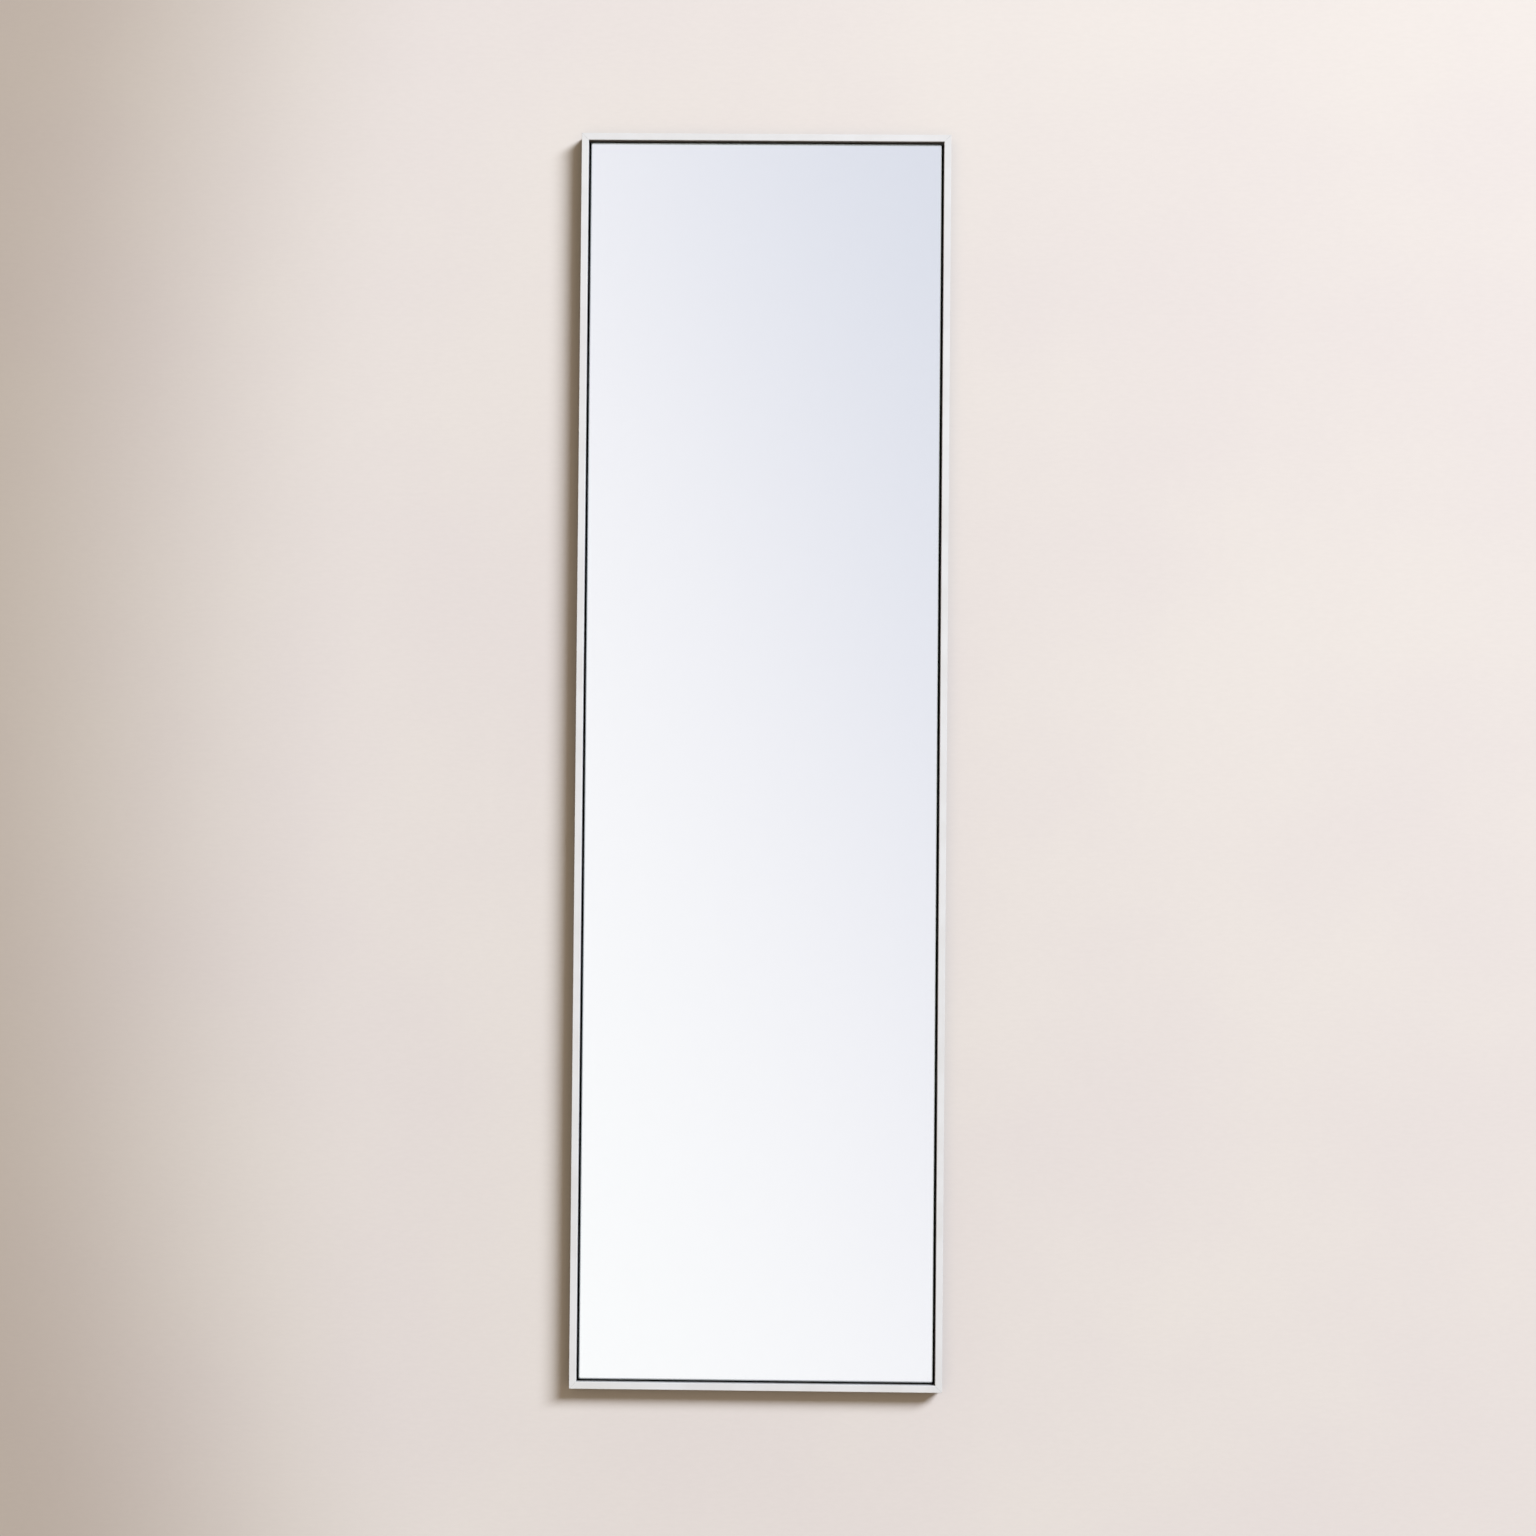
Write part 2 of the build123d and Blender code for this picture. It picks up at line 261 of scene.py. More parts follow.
ridge_sink_share = 0.1
ridge_inset_share = 0.4
screw_sides = 32
sliver = 0.001
screw_turn_step = 37
screw_smooth_angle = 35
corner_end_inset = 25.1
rail_middle = 4.25
rail_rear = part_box("left_rail")[1][1]


def clear_selection():
    """Nothing is selected and no piece is being edited."""
    bpy.ops.object.select_all(action="DESELECT")


def take(piece):
    """Selects one piece alone and makes it the active one."""
    clear_selection()
    piece.select_set(True)
    bpy.context.view_layer.objects.active = piece


def keep_faces(test):
    """In edit mode, selects the faces whose middle and normal pass the test, and no others."""
    bpy.ops.object.mode_set(mode="OBJECT")
    mesh = bpy.context.object.data
    for vertex in mesh.vertices:
        vertex.select = False
    for edge in mesh.edges:
        edge.select = False
    for face in mesh.polygons:
        face.select = test(face.center, face.normal)
    bpy.ops.object.mode_set(mode="EDIT")
    bpy.ops.mesh.select_mode(type="FACE")


def turned(name, outline, sides):
    """A turned solid from its outline of (radius, height) points, drawn out ring by ring."""
    clear_selection()
    first_radius, first_height = outline[0]
    bpy.ops.mesh.primitive_circle_add(
        vertices=sides, radius=first_radius, fill_type="NGON", location=(0, 0, first_height)
    )
    piece = bpy.context.object
    piece.name = name
    bpy.ops.object.transform_apply(location=True)
    bpy.ops.object.mode_set(mode="EDIT")
    bpy.ops.mesh.select_all(action="SELECT")
    last_radius, last_height = first_radius, first_height
    for radius, height in outline[1:]:
        rise = (0, 0, height - last_height)
        bpy.ops.mesh.extrude_region_move(TRANSFORM_OT_translate={"value": rise})
        share = radius / last_radius
        bpy.ops.transform.resize(value=(share, share, 1), center_override=(0, 0, height))
        last_radius, last_height = radius, height
    bpy.ops.mesh.select_all(action="SELECT")
    bpy.ops.mesh.normals_make_consistent(inside=False)
    bpy.ops.object.mode_set(mode="OBJECT")
    return piece


def carve(piece, tool, operation):
    """Cuts a tool out of a piece, or fuses it on, and throws the tool away."""
    take(piece)
    cut = piece.modifiers.new("cut", "BOOLEAN")
    cut.object = tool
    cut.operation = operation
    cut.solver = "EXACT"
    bpy.ops.object.modifier_apply(modifier=cut.name)
    bpy.data.objects.remove(tool)


def cross_recess(piece, top, head_radius, depth):
    """Cuts a driver's cross into a head, with walls that lean in towards its floor."""
    span = 2 * head_radius * recess_share
    wing = 2 * head_radius * recess_wing_share
    room = 1.0
    for quarter in (0, 90):
        clear_selection()
        bpy.ops.mesh.primitive_cube_add(size=1, location=(0, 0, top + (room - depth) / 2))
        bar = bpy.context.object
        bar.scale = (span, wing, room + depth)
        bar.rotation_euler.z = math.radians(quarter)
        bpy.ops.object.transform_apply()
        bpy.ops.object.mode_set(mode="EDIT")
        keep_faces(lambda middle, normal: normal.z < -0.9)
        leaning = (recess_floor_along, recess_floor_beside)
        along, beside = leaning if quarter == 0 else reversed(leaning)
        floor = (0, 0, top - depth)
        bpy.ops.transform.resize(value=(along, beside, 1), center_override=floor)
        bpy.ops.object.mode_set(mode="OBJECT")
        carve(piece, bar, "DIFFERENCE")


def thread(piece, core, crest, pitch, start, end):
    """Winds a ridge round a shank, from one height down to another, and fuses it on."""
    clear_selection()
    bpy.ops.mesh.primitive_circle_add(vertices=3, radius=pitch, fill_type="NGON")
    ridge = bpy.context.object
    bpy.ops.object.mode_set(mode="EDIT")
    bpy.ops.mesh.delete(type="ONLY_FACE")
    bpy.ops.object.mode_set(mode="OBJECT")
    sunk = core - pitch * ridge_sink_share
    half = pitch * ridge_half_share
    for vertex, place in zip(ridge.data.vertices, ((crest, 0, 0), (sunk, 0, half), (sunk, 0, -half))):
        vertex.co = place
    ridge.location.z = end + pitch * ridge_inset_share
    turns = int((start - end) / pitch - 2 * ridge_inset_share)
    winding = ridge.modifiers.new("winding", "SCREW")
    winding.screw_offset = pitch
    winding.iterations = turns
    winding.steps = screw_sides
    winding.render_steps = screw_sides
    winding.use_merge_vertices = False
    take(ridge)
    bpy.ops.object.modifier_apply(modifier=winding.name)
    bpy.ops.object.transform_apply()
    bpy.ops.object.mode_set(mode="EDIT")
    bpy.ops.mesh.select_all(action="SELECT")
    bpy.ops.mesh.fill_holes(sides=0)
    bpy.ops.mesh.select_all(action="SELECT")
    bpy.ops.mesh.normals_make_consistent(inside=False)
    bpy.ops.object.mode_set(mode="OBJECT")
    carve(piece, ridge, "UNION")


def set_out(model, places, name):
    """Copies a model to each (x, y, z) in metres, its head towards the wall and each cross turned."""
    take(model)
    bpy.ops.object.mode_set(mode="EDIT")
    bpy.ops.mesh.select_all(action="SELECT")
    bpy.ops.mesh.dissolve_degenerate(threshold=sliver)
    bpy.ops.object.mode_set(mode="OBJECT")
    copies = []
    for number, place in enumerate(places):
        copy = model.copy()
        copy.data = model.data.copy()
        copy.matrix_world = (
            Matrix.Translation(place)
            @ Matrix.Rotation(math.radians(-90), 4, "X")
            @ Matrix.Rotation(math.radians(screw_turn_step * number), 4, "Z")
            @ Matrix.Scale(mm, 4)
        )
        bpy.context.scene.collection.objects.link(copy)
        copies.append(copy)
    bpy.data.objects.remove(model)
    take(copies[0])
    for copy in copies:
        copy.select_set(True)
    bpy.ops.object.join()
    bpy.ops.object.transform_apply()
    bpy.ops.object.shade_smooth_by_angle(angle=math.radians(screw_smooth_angle))
    group = bpy.context.object
    group.name = name
    return group


def finish_piece(piece, finish, slot, body, *nodes):
    """Gives a new piece its finish and its body, and hides the pieces of the construction it stands for. The
    slot is not used.
    """
    piece.data.materials.clear()
    piece.data.materials.append(finish)
    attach(piece, body)
    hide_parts(*nodes)


zinc_plate, zinc_shader, on_zinc = new_finish("zinc plated steel")
zinc_cloud = grain(zinc_plate, on_zinc, zinc_cloud_size, detail=4.0)
zinc_skin = grain(zinc_plate, on_zinc, zinc_skin_size, detail=3.0)
zinc_share = between(zinc_plate, zinc_cloud, *mild_contrast)
zinc_shader.inputs["Metallic"].default_value = 1.0
connect(
    zinc_plate,
    zinc_shader,
    Base_Color=blend(zinc_plate, zinc_share, shade(*zinc_dark), shade(*zinc_light)),
    Roughness=between(zinc_plate, zinc_skin, *gentle_contrast, *zinc_gloss),
    Normal=relief(zinc_plate, zinc_skin, zinc_skin_depth),
)

cone_depth = corner_head - corner_thread
corner_outline = [
    (corner_end_middle, -corner_length),
    (corner_core - corner_end_bevel[0], -corner_length),
    (corner_core, -corner_length + corner_end_bevel[1]),
    (corner_core, -cone_depth - corner_neck),
    (corner_thread, -cone_depth),
    (corner_head - corner_rim, -corner_rim_low),
    (corner_head, -corner_rim_high),
    (corner_head - corner_rim, 0.0),
    (corner_head * corner_face_share, 0.0),
]
corner_screw = turned("corner_screw", corner_outline, screw_sides)
corner_thread_high = -cone_depth - corner_thread_start
corner_thread_low = -corner_length + corner_thread_end
thread(corner_screw, corner_core, corner_thread, corner_pitch, corner_thread_high, corner_thread_low)
cross_recess(corner_screw, 0.0, corner_head, cone_depth * recess_depth_share)
across_end = frame_half_width - corner_end_inset * mm
across_middle = frame_half_width - rail_middle * mm
up_end = frame_half_height - corner_end_inset * mm
up_middle = frame_half_height - rail_middle * mm
corner_places = [
    (side * x, rail_rear, end * z)
    for x, z in ((across_end, up_middle), (across_middle, up_end))
    for side in (-1, 1)
    for end in (-1, 1)
]
corner_screws = set_out(corner_screw, corner_places, "corner_screw_set")
finish_piece(corner_screws, zinc_plate, "zinc_screw", "frame", "corner_screws")

# Mirror glass: one sheet of 4 mm float glass. Its edges are ground to a seam, which leaves them frosted
# and shows the green of the iron in the glass. The faces are polished, with a trace of wiping marks.
glass_clear = (254, 255, 255)
glass_green = (212, 224, 217)
glass_index = 1.52
wipe_size = 0.03
wipe_range = (0.45, 0.7)
wipe_gloss = (0.0, 0.012)
ground_gloss = 0.5
seam_width = 0.0005
seam_core_share = 0.8
glass_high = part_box("mirror_glass")[1]

float_glass, glass_shader, on_glass = new_finish("float glass with ground edges")
across, depth, upward = distances(float_glass, on_glass)
to_side = sums(float_glass, "SUBTRACT", glass_high[0], across)
to_end = sums(float_glass, "SUBTRACT", glass_high[2], upward)
to_seam = sums(float_glass, "MINIMUM", to_side, to_end)
ground = between(float_glass, to_seam, seam_width, seam_core_share * seam_width)
wiped = grain(float_glass, on_glass, wipe_size, detail=3.0, stretch=(4, 1, 1))
wiped_gloss = between(float_glass, wiped, *wipe_range, *wipe_gloss)
glass_gloss = sums(float_glass, "MAXIMUM", wiped_gloss, sums(float_glass, "MULTIPLY", ground, ground_gloss))
glass_colour = blend(float_glass, ground, shade(*glass_clear), shade(*glass_green))
glass_shader.inputs["Transmission Weight"].default_value = 1.0
glass_shader.inputs["IOR"].default_value = glass_index
connect(float_glass, glass_shader, Base_Color=glass_colour, Roughness=glass_gloss)
dress(float_glass, "mirror_glass")

# Silver coating: silver laid on the rear of the glass, under a coat of grey-green backing paint that
# also covers its edge. The two together are a tenth of a millimetre thick.
silver_tone = (254, 254, 254)
backing_light = (112, 126, 122)
backing_dark = (96, 110, 107)
silver_cloud_size = 0.2
silver_gloss = (0.0, 0.004)
backing_flow_size = 0.04
backing_skin_size = 0.0008
backing_skin_depth = 0.000008
backing_gloss = (0.45, 0.6)
silver_seat = 0.00002
silver_corner = 0.0015
silver_low, silver_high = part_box("silver_coating")

silver, silver_shader, on_silver = new_finish("silver")
silver_cloud = grain(silver, on_silver, silver_cloud_size)
silver_shader.inputs["Base Color"].default_value = shade(*silver_tone)
silver_shader.inputs["Metallic"].default_value = 1.0
connect(silver, silver_shader, Roughness=between(silver, silver_cloud, *gentle_contrast, *silver_gloss))

backing_paint, backing_shader, on_backing = new_finish("mirror backing paint")
backing_flow = grain(backing_paint, on_backing, backing_flow_size, detail=4.0, stretch=(1, 1, 6))
backing_skin = grain(backing_paint, on_backing, backing_skin_size)
backing_share = between(backing_paint, backing_flow, *mild_contrast)
connect(
    backing_paint,
    backing_shader,
    Base_Color=blend(backing_paint, backing_share, shade(*backing_dark), shade(*backing_light)),
    Roughness=between(backing_paint, backing_skin, *gentle_contrast, *backing_gloss),
    Normal=relief(backing_paint, backing_skin, backing_skin_depth),
)

clear_selection()
bpy.ops.mesh.primitive_plane_add(size=1, rotation=(math.radians(90), 0, 0))
silver_sheet = bpy.context.object
silver_sheet.name = "silver_sheet"
silver_sheet.scale = (silver_high[0] - silver_low[0], silver_high[2] - silver_low[2], 1)
silver_sheet.location.y = silver_low[1] + silver_seat
bpy.ops.object.transform_apply()
bpy.ops.object.mode_set(mode="EDIT")
bpy.ops.mesh.select_all(action="SELECT")
bpy.ops.mesh.bevel(offset=silver_corner, segments=4, affect="VERTICES")
bpy.ops.mesh.select_all(action="SELECT")
film = silver_high[1] - silver_low[1] - silver_seat
bpy.ops.mesh.extrude_region_move(TRANSFORM_OT_translate={"value": (0, film, 0)})
bpy.ops.mesh.select_all(action="SELECT")
bpy.ops.mesh.normals_make_consistent(inside=False)
bpy.ops.object.mode_set(mode="OBJECT")
finish_piece(silver_sheet, silver, "silver", "frame", "silver_coating")
silver_sheet.data.materials.append(backing_paint)
bpy.ops.object.mode_set(mode="EDIT")
keep_faces(lambda middle, normal: normal.y > -0.5)
silver_sheet.active_material_index = 1
bpy.ops.object.material_slot_assign()
bpy.ops.object.mode_set(mode="OBJECT")

# Mounting tape: three upright strips of white foam tape between the glass and the board. The foam
# has fine closed cells, pressed flat by the adhesive.
foam_white = (222, 221, 216)
foam_grey = (196, 195, 190)
tape_cell = 0.0007
tape_cell_depth = 0.00008
tape_cloud_size = 0.02
tape_gloss = (0.75, 0.95)
strong_contrast = (0.4, 0.6)

foam_tape, foam_shader, on_tape = new_finish("white foam tape")
tape_cells = grain(foam_tape, on_tape, tape_cell)
tape_cloud = grain(foam_tape, on_tape, tape_cloud_size)
tape_mix = sums(foam_tape, "MULTIPLY", sums(foam_tape, "ADD", tape_cells, tape_cloud), 0.5)
tape_share = between(foam_tape, tape_mix, *strong_contrast)
connect(
    foam_tape,
    foam_shader,
    Base_Color=blend(foam_tape, tape_share, shade(*foam_grey), shade(*foam_white)),
    Roughness=between(foam_tape, tape_cells, *gentle_contrast, *tape_gloss),
    Normal=relief(foam_tape, tape_cells, tape_cell_depth),
)
dress(foam_tape, "mounting_tape")

# Carrier board: 6 mm fibreboard that the glass is taped to. Its faces are pressed smooth with brown
# fibres showing, and its edges are brushed black so that nothing pale shows in the shadow gap.
fibre_light = (174, 144, 110)
fibre_mid = (164, 133, 99)
fibre_dark = (136, 107, 77)
edge_black = (22, 21, 20)
fibre_size = 0.0006
fibre_depth = 0.00004
fibre_range = (0.62, 0.75)
chip_size = 0.006
chip_depth = 0.00003
chip_range = (0.35, 0.6)
pressed_range = (0.4, 0.75)
brushed_ragged = 0.002
brushed_width = 0.003
brushed_edge = (0.0012, 0.0008)
board_gloss = (0.55, 0.8)
board_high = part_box("carrier_board")[1]

fibreboard, board_shader, on_board = new_finish("fibreboard with black edges")
across, depth, upward = distances(fibreboard, on_board)
to_side = sums(fibreboard, "SUBTRACT", board_high[0], across)
to_end = sums(fibreboard, "SUBTRACT", board_high[2], upward)
chips = grain(fibreboard, on_board, chip_size, detail=6.0, roughness=0.65)
fibres = grain(fibreboard, on_board, fibre_size, detail=3.0, stretch=(3, 1, 1))
cross_fibres = grain(fibreboard, on_board, fibre_size, detail=3.0, stretch=(1, 1, 3))
pressed = sums(fibreboard, "MAXIMUM", fibres, cross_fibres)
brush_marks = grain(fibreboard, on_board, brushed_ragged, detail=4.0)
ragged = sums(fibreboard, "MULTIPLY", brush_marks, brushed_width)
to_edge = sums(fibreboard, "SUBTRACT", sums(fibreboard, "MINIMUM", to_side, to_end), ragged)
painted = between(fibreboard, to_edge, *brushed_edge)
chip_share = between(fibreboard, chips, *chip_range)
fibre_share = between(fibreboard, pressed, *fibre_range)
board_colour = blend(fibreboard, chip_share, shade(*fibre_mid), shade(*fibre_light))
board_colour = blend(fibreboard, fibre_share, board_colour, shade(*fibre_dark))
board_colour = blend(fibreboard, painted, board_colour, shade(*edge_black))
board_relief = relief(fibreboard, chips, chip_depth)
board_relief = relief(fibreboard, pressed, fibre_depth, board_relief)
connect(
    fibreboard,
    board_shader,
    Base_Color=board_colour,
    Roughness=between(fibreboard, pressed, *pressed_range, *board_gloss),
    Normal=board_relief,
)
dress(fibreboard, "carrier_board")

# Gap seals: four strips of black foam between the board and the flanges, the dark floor of the
# shadow gap. The foam is soft and open, and shows its cells where it is cut.
foam_black = (13, 13, 13)
foam_sheen = (30, 30, 31)
seal_cell = 0.0006
seal_cell_depth = 0.00012
seal_cell_range = (0.5, 0.7)
seal_gloss = (0.8, 1.0)

black_foam, seal_shader, on_seal = new_finish("black foam")
seal_cells = grain(black_foam, on_seal, seal_cell, detail=3.0, roughness=0.6)
seal_share = between(black_foam, seal_cells, *seal_cell_range)
connect(
    black_foam,
    seal_shader,
    Base_Color=blend(black_foam, seal_share, shade(*foam_black), shade(*foam_sheen)),
    Roughness=between(black_foam, seal_cells, *gentle_contrast, *seal_gloss),
    Normal=relief(black_foam, seal_cells, seal_cell_depth),
)
dress(black_foam, *(f"gap_seal_{side}" for side in ("top", "bottom", "left", "right")))

# Panel screws: pan-head wood screws of zinc-plated steel, through the flanges and seals into the
# board. Five stand in each side and two in each end, in a row along the middle of the flange.
panel_thread = 1.75
panel_core = 1.15
panel_length = 8.0
panel_head = 3.5
panel_head_height = 2.4
panel_pitch = 1.6
panel_point = 4.2
panel_thread_start = 0.6
panel_thread_end = 1.2
screw_tip = 0.12
pan_rim_share = 0.3
pan_rim_bevel = (0.06, 0.08)
pan_squareness = 0.8
pan_crown_share = 0.12
pan_steps = 6
flange_row = 19.5
side_row_end = 60.0
side_row_count = 5
end_row_pitch = 200.0
flange_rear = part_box("hanger_strap_left")[0][1]


def pan_head_outline(core, length, point, head, height):
    """Outline of a wood screw with its seat at 0, from the point up over the head."""
    rim = pan_rim_share * height
    outline = [(screw_tip, -length), (core, point - length), (core, 0.0)]
    outline += [(head - pan_rim_bevel[0], 0.0), (head, pan_rim_bevel[1]), (head, rim)]
    for step in range(1, pan_steps):
        angle = math.radians(90 * step / pan_steps)
        width = head * math.cos(angle) ** pan_squareness
        outline.append((width, rim + (height - rim) * math.sin(angle)))
    outline.append((head * pan_crown_share, height))
    return outline


panel_outline = pan_head_outline(panel_core, panel_length, panel_point, panel_head, panel_head_height)
panel_screw = turned("panel_screw", panel_outline, screw_sides)
panel_thread_low = -panel_length + panel_point - panel_thread_end
thread(panel_screw, panel_core, panel_thread, panel_pitch, -panel_thread_start, panel_thread_low)
cross_recess(panel_screw, panel_head_height, panel_head, panel_head_height * recess_depth_share)
row_x = frame_half_width - flange_row * mm
row_z = frame_half_height - flange_row * mm
row_end = frame_half_height - side_row_end * mm
row_step = 2 * row_end / (side_row_count - 1)
panel_places = [
    (side * row_x, flange_rear, row_step * number - row_end)
    for side in (-1, 1)
    for number in range(side_row_count)
] + [
    (side * end_row_pitch * mm / 2, flange_rear, end * row_z)
    for side in (-1, 1)
    for end in (-1, 1)
]
panel_screws = set_out(panel_screw, panel_places, "panel_screw_set")
finish_piece(panel_screws, zinc_plate, "zinc_screw", "frame", "panel_screws")

# Hanger straps: steel strip folded double round the bar of a ring, zinc-plated after it is bent. It
# keeps the fine lines that rolling left along the strip.
strap_light = (196, 198, 202)
strap_dark = (170, 173, 179)
strap_gloss = (0.26, 0.42)
rolled_size = 0.00025
rolled_depth = 0.000008
strap_cloud_size = 0.004

zinc_strap, strap_shader, on_strap = new_finish("zinc plated strip")
rolled = grain(zinc_strap, on_strap, rolled_size, detail=3.0, stretch=(1, 1, 60))
strap_cloud = grain(zinc_strap, on_strap, strap_cloud_size, detail=4.0)
strap_mix = sums(zinc_strap, "MULTIPLY", sums(zinc_strap, "ADD", rolled, strap_cloud), 0.5)
strap_share = between(zinc_strap, strap_mix, *strong_contrast)
strap_shader.inputs["Metallic"].default_value = 1.0
connect(
    zinc_strap,
    strap_shader,
    Base_Color=blend(zinc_strap, strap_share, shade(*strap_dark), shade(*strap_light)),
    Roughness=between(zinc_strap, rolled, *gentle_contrast, *strap_gloss),
    Normal=relief(zinc_strap, rolled, rolled_depth),
)
dress(zinc_strap, "hanger_strap_left", "hanger_strap_right")

# D-rings: steel wire bent round to a D and nickel-plated. The ends of the wire butt in the middle of
# the straight bar, inside the fold of the strap that the ring turns in.
wire_light = (206, 205, 203)
wire_dark = (168, 167, 166)
wire_gloss = (0.16, 0.3)
wire_line_size = 0.0003
wire_line_depth = 0.000004
wire_cloud_size = 0.005
wire_radius = 1.5
wire_sides = 24
wire_smooth_angle = 40
corner_bend_steps = 8
round_bend_steps = 28
ring_half = 8.5
ring_reach = 14.0
ring_bend = 2.5
ring_butt = 0.1
ring_eye = 1.55
strap_sheet = 1.2
ring_rest_gap = 0.3
hanger_drop = 220.0
ring_eye_outer = ring_eye + strap_sheet
ring_lift = 2 * strap_sheet + ring_rest_gap + wire_radius - ring_eye_outer
ring_lean = math.asin(ring_lift / ring_reach)
hanger_height = frame_half_height - hanger_drop * mm

ring_wire, wire_shader, on_wire = new_finish("nickel plated wire")
drawn_lines = grain(ring_wire, on_wire, wire_line_size, detail=3.0, stretch=(8, 1, 1))
wire_cloud = grain(ring_wire, on_wire, wire_cloud_size, detail=3.0)
wire_share = between(ring_wire, wire_cloud, *mild_contrast)
wire_shader.inputs["Metallic"].default_value = 1.0
connect(
    ring_wire,
    wire_shader,
    Base_Color=blend(ring_wire, wire_share, shade(*wire_dark), shade(*wire_light)),
    Roughness=between(ring_wire, drawn_lines, *gentle_contrast, *wire_gloss),
    Normal=relief(ring_wire, drawn_lines, wire_line_depth),
)


def draw_wire(step):
    """Draws the open end of the wire straight on."""
    bpy.ops.mesh.extrude_edges_move(TRANSFORM_OT_translate={"value": step})


def bend_wire(centre, degrees, steps):
    """Bends the wire on round a centre, in the plane of the ring."""
    bpy.ops.mesh.spin(steps=steps, angle=math.radians(degrees), center=centre, axis=(0, -1, 0))


for side, name in ((-1, "left"), (1, "right")):
    clear_selection()
    bpy.ops.mesh.primitive_circle_add(
        vertices=wire_sides,
        radius=wire_radius,
        location=(ring_butt, 0, 0),
        rotation=(0, math.radians(90), 0),
    )
    ring = bpy.context.object
    ring.name = f"wire_ring_{name}"
    bpy.ops.object.transform_apply()
    bpy.ops.object.mode_set(mode="EDIT")
    bpy.ops.mesh.select_all(action="SELECT")
    bar_end = ring_half - ring_bend
    leg_end = ring_reach - ring_half
    draw_wire((bar_end - ring_butt, 0, 0))
    bend_wire((bar_end, 0, -ring_bend), 90, corner_bend_steps)
    draw_wire((0, 0, ring_bend - leg_end))
    bend_wire((0, 0, -leg_end), 180, round_bend_steps)
    draw_wire((0, 0, leg_end - ring_bend))
    bend_wire((-bar_end, 0, -ring_bend), 90, corner_bend_steps)
    draw_wire((bar_end - ring_butt, 0, 0))
    bpy.ops.mesh.select_all(action="SELECT")
    bpy.ops.mesh.fill_holes(sides=0)
    bpy.ops.mesh.select_all(action="SELECT")
    bpy.ops.mesh.normals_make_consistent(inside=False)
    bpy.ops.object.mode_set(mode="OBJECT")
    ring.matrix_world = (
        Matrix.Translation((side * row_x, flange_rear + ring_eye_outer * mm, hanger_height))
        @ Matrix.Rotation(ring_lean, 4, "X")
        @ Matrix.Scale(mm, 4)
    )
    take(ring)
    bpy.ops.object.transform_apply()
    bpy.ops.object.shade_smooth_by_angle(angle=math.radians(wire_smooth_angle))
    finish_piece(ring, ring_wire, "ring_wire", f"ring_{name}", f"d_ring_{name}")

# Hanger screws: stouter pan-head screws, two in each strap, one below the other. They go through the
# strap, the flange and the seal into the board.
hanger_thread = 2.0
hanger_core = 1.35
hanger_length = 10.0
hanger_head = 3.8
hanger_head_height = 2.5
hanger_pitch = 1.8
hanger_point = 4.6
hanger_thread_start = 0.8
hanger_thread_end = 1.3
hanger_screw_drops = (22.0, 37.0)
strap_rear = flange_rear + 2 * strap_sheet * mm

hanger_outline = pan_head_outline(hanger_core, hanger_length, hanger_point, hanger_head, hanger_head_height)
hanger_screw = turned("hanger_screw", hanger_outline, screw_sides)
hanger_thread_low = -hanger_length + hanger_point - hanger_thread_end
thread(hanger_screw, hanger_core, hanger_thread, hanger_pitch, -hanger_thread_start, hanger_thread_low)
cross_recess(hanger_screw, hanger_head_height, hanger_head, hanger_head_height * recess_depth_share)
hanger_places = [
    (side * row_x, strap_rear, hanger_height - drop * mm)
    for side in (-1, 1)
    for drop in hanger_screw_drops
]
hanger_screws = set_out(hanger_screw, hanger_places, "hanger_screw_set")
finish_piece(hanger_screws, zinc_plate, "zinc_screw", "frame", "hanger_screws")

# Wall bumpers: four soft domed dots of clear rubber, stuck to the rear of the side rails. They keep
# the frame 2 mm off the wall.
bumper_radius = 4.0
bumper_height = 2.0
bumper_wall = 0.8
bumper_foot = 0.08
bumper_sides = 48
bumper_step = 15
bumper_crown_share = 0.3
bumper_end = 90.0
rubber_clear = (236, 237, 233)
rubber_gloss = (0.18, 0.34)
rubber_clearness = 0.35
rubber_index = 1.45
rubber_dust_size = 0.0009
rubber_dust_depth = 0.00001
rubber_dust_range = (0.35, 0.7)

clear_rubber, rubber_shader, on_bumper = new_finish("clear rubber")
rubber_dust = grain(clear_rubber, on_bumper, rubber_dust_size, detail=4.0)
rubber_shader.inputs["Base Color"].default_value = shade(*rubber_clear)
rubber_shader.inputs["Transmission Weight"].default_value = rubber_clearness
rubber_shader.inputs["IOR"].default_value = rubber_index
connect(
    clear_rubber,
    rubber_shader,
    Roughness=between(clear_rubber, rubber_dust, *rubber_dust_range, *rubber_gloss),
    Normal=relief(clear_rubber, rubber_dust, rubber_dust_depth),
)

bumper_outline = [(bumper_radius - bumper_foot, 0.0), (bumper_radius, bumper_foot)]
bumper_outline.append((bumper_radius, bumper_wall))
dome = bumper_height - bumper_wall
for angle in range(bumper_step, 91, bumper_step):
    turn = math.radians(angle)
    bumper_outline.append((bumper_radius - dome * (1 - math.cos(turn)), bumper_wall + dome * math.sin(turn)))
bumper_outline.append((bumper_radius * bumper_crown_share, bumper_height))
bumper = turned("bumper", bumper_outline, bumper_sides)
bumper_z = frame_half_height - bumper_end * mm
bumper_places = [
    (side * across_middle, rail_rear, end * bumper_z)
    for side in (-1, 1)
    for end in (-1, 1)
]
bumpers = set_out(bumper, bumper_places, "bumper_set")
finish_piece(bumpers, clear_rubber, "clear_rubber", "frame", "wall_bumpers")
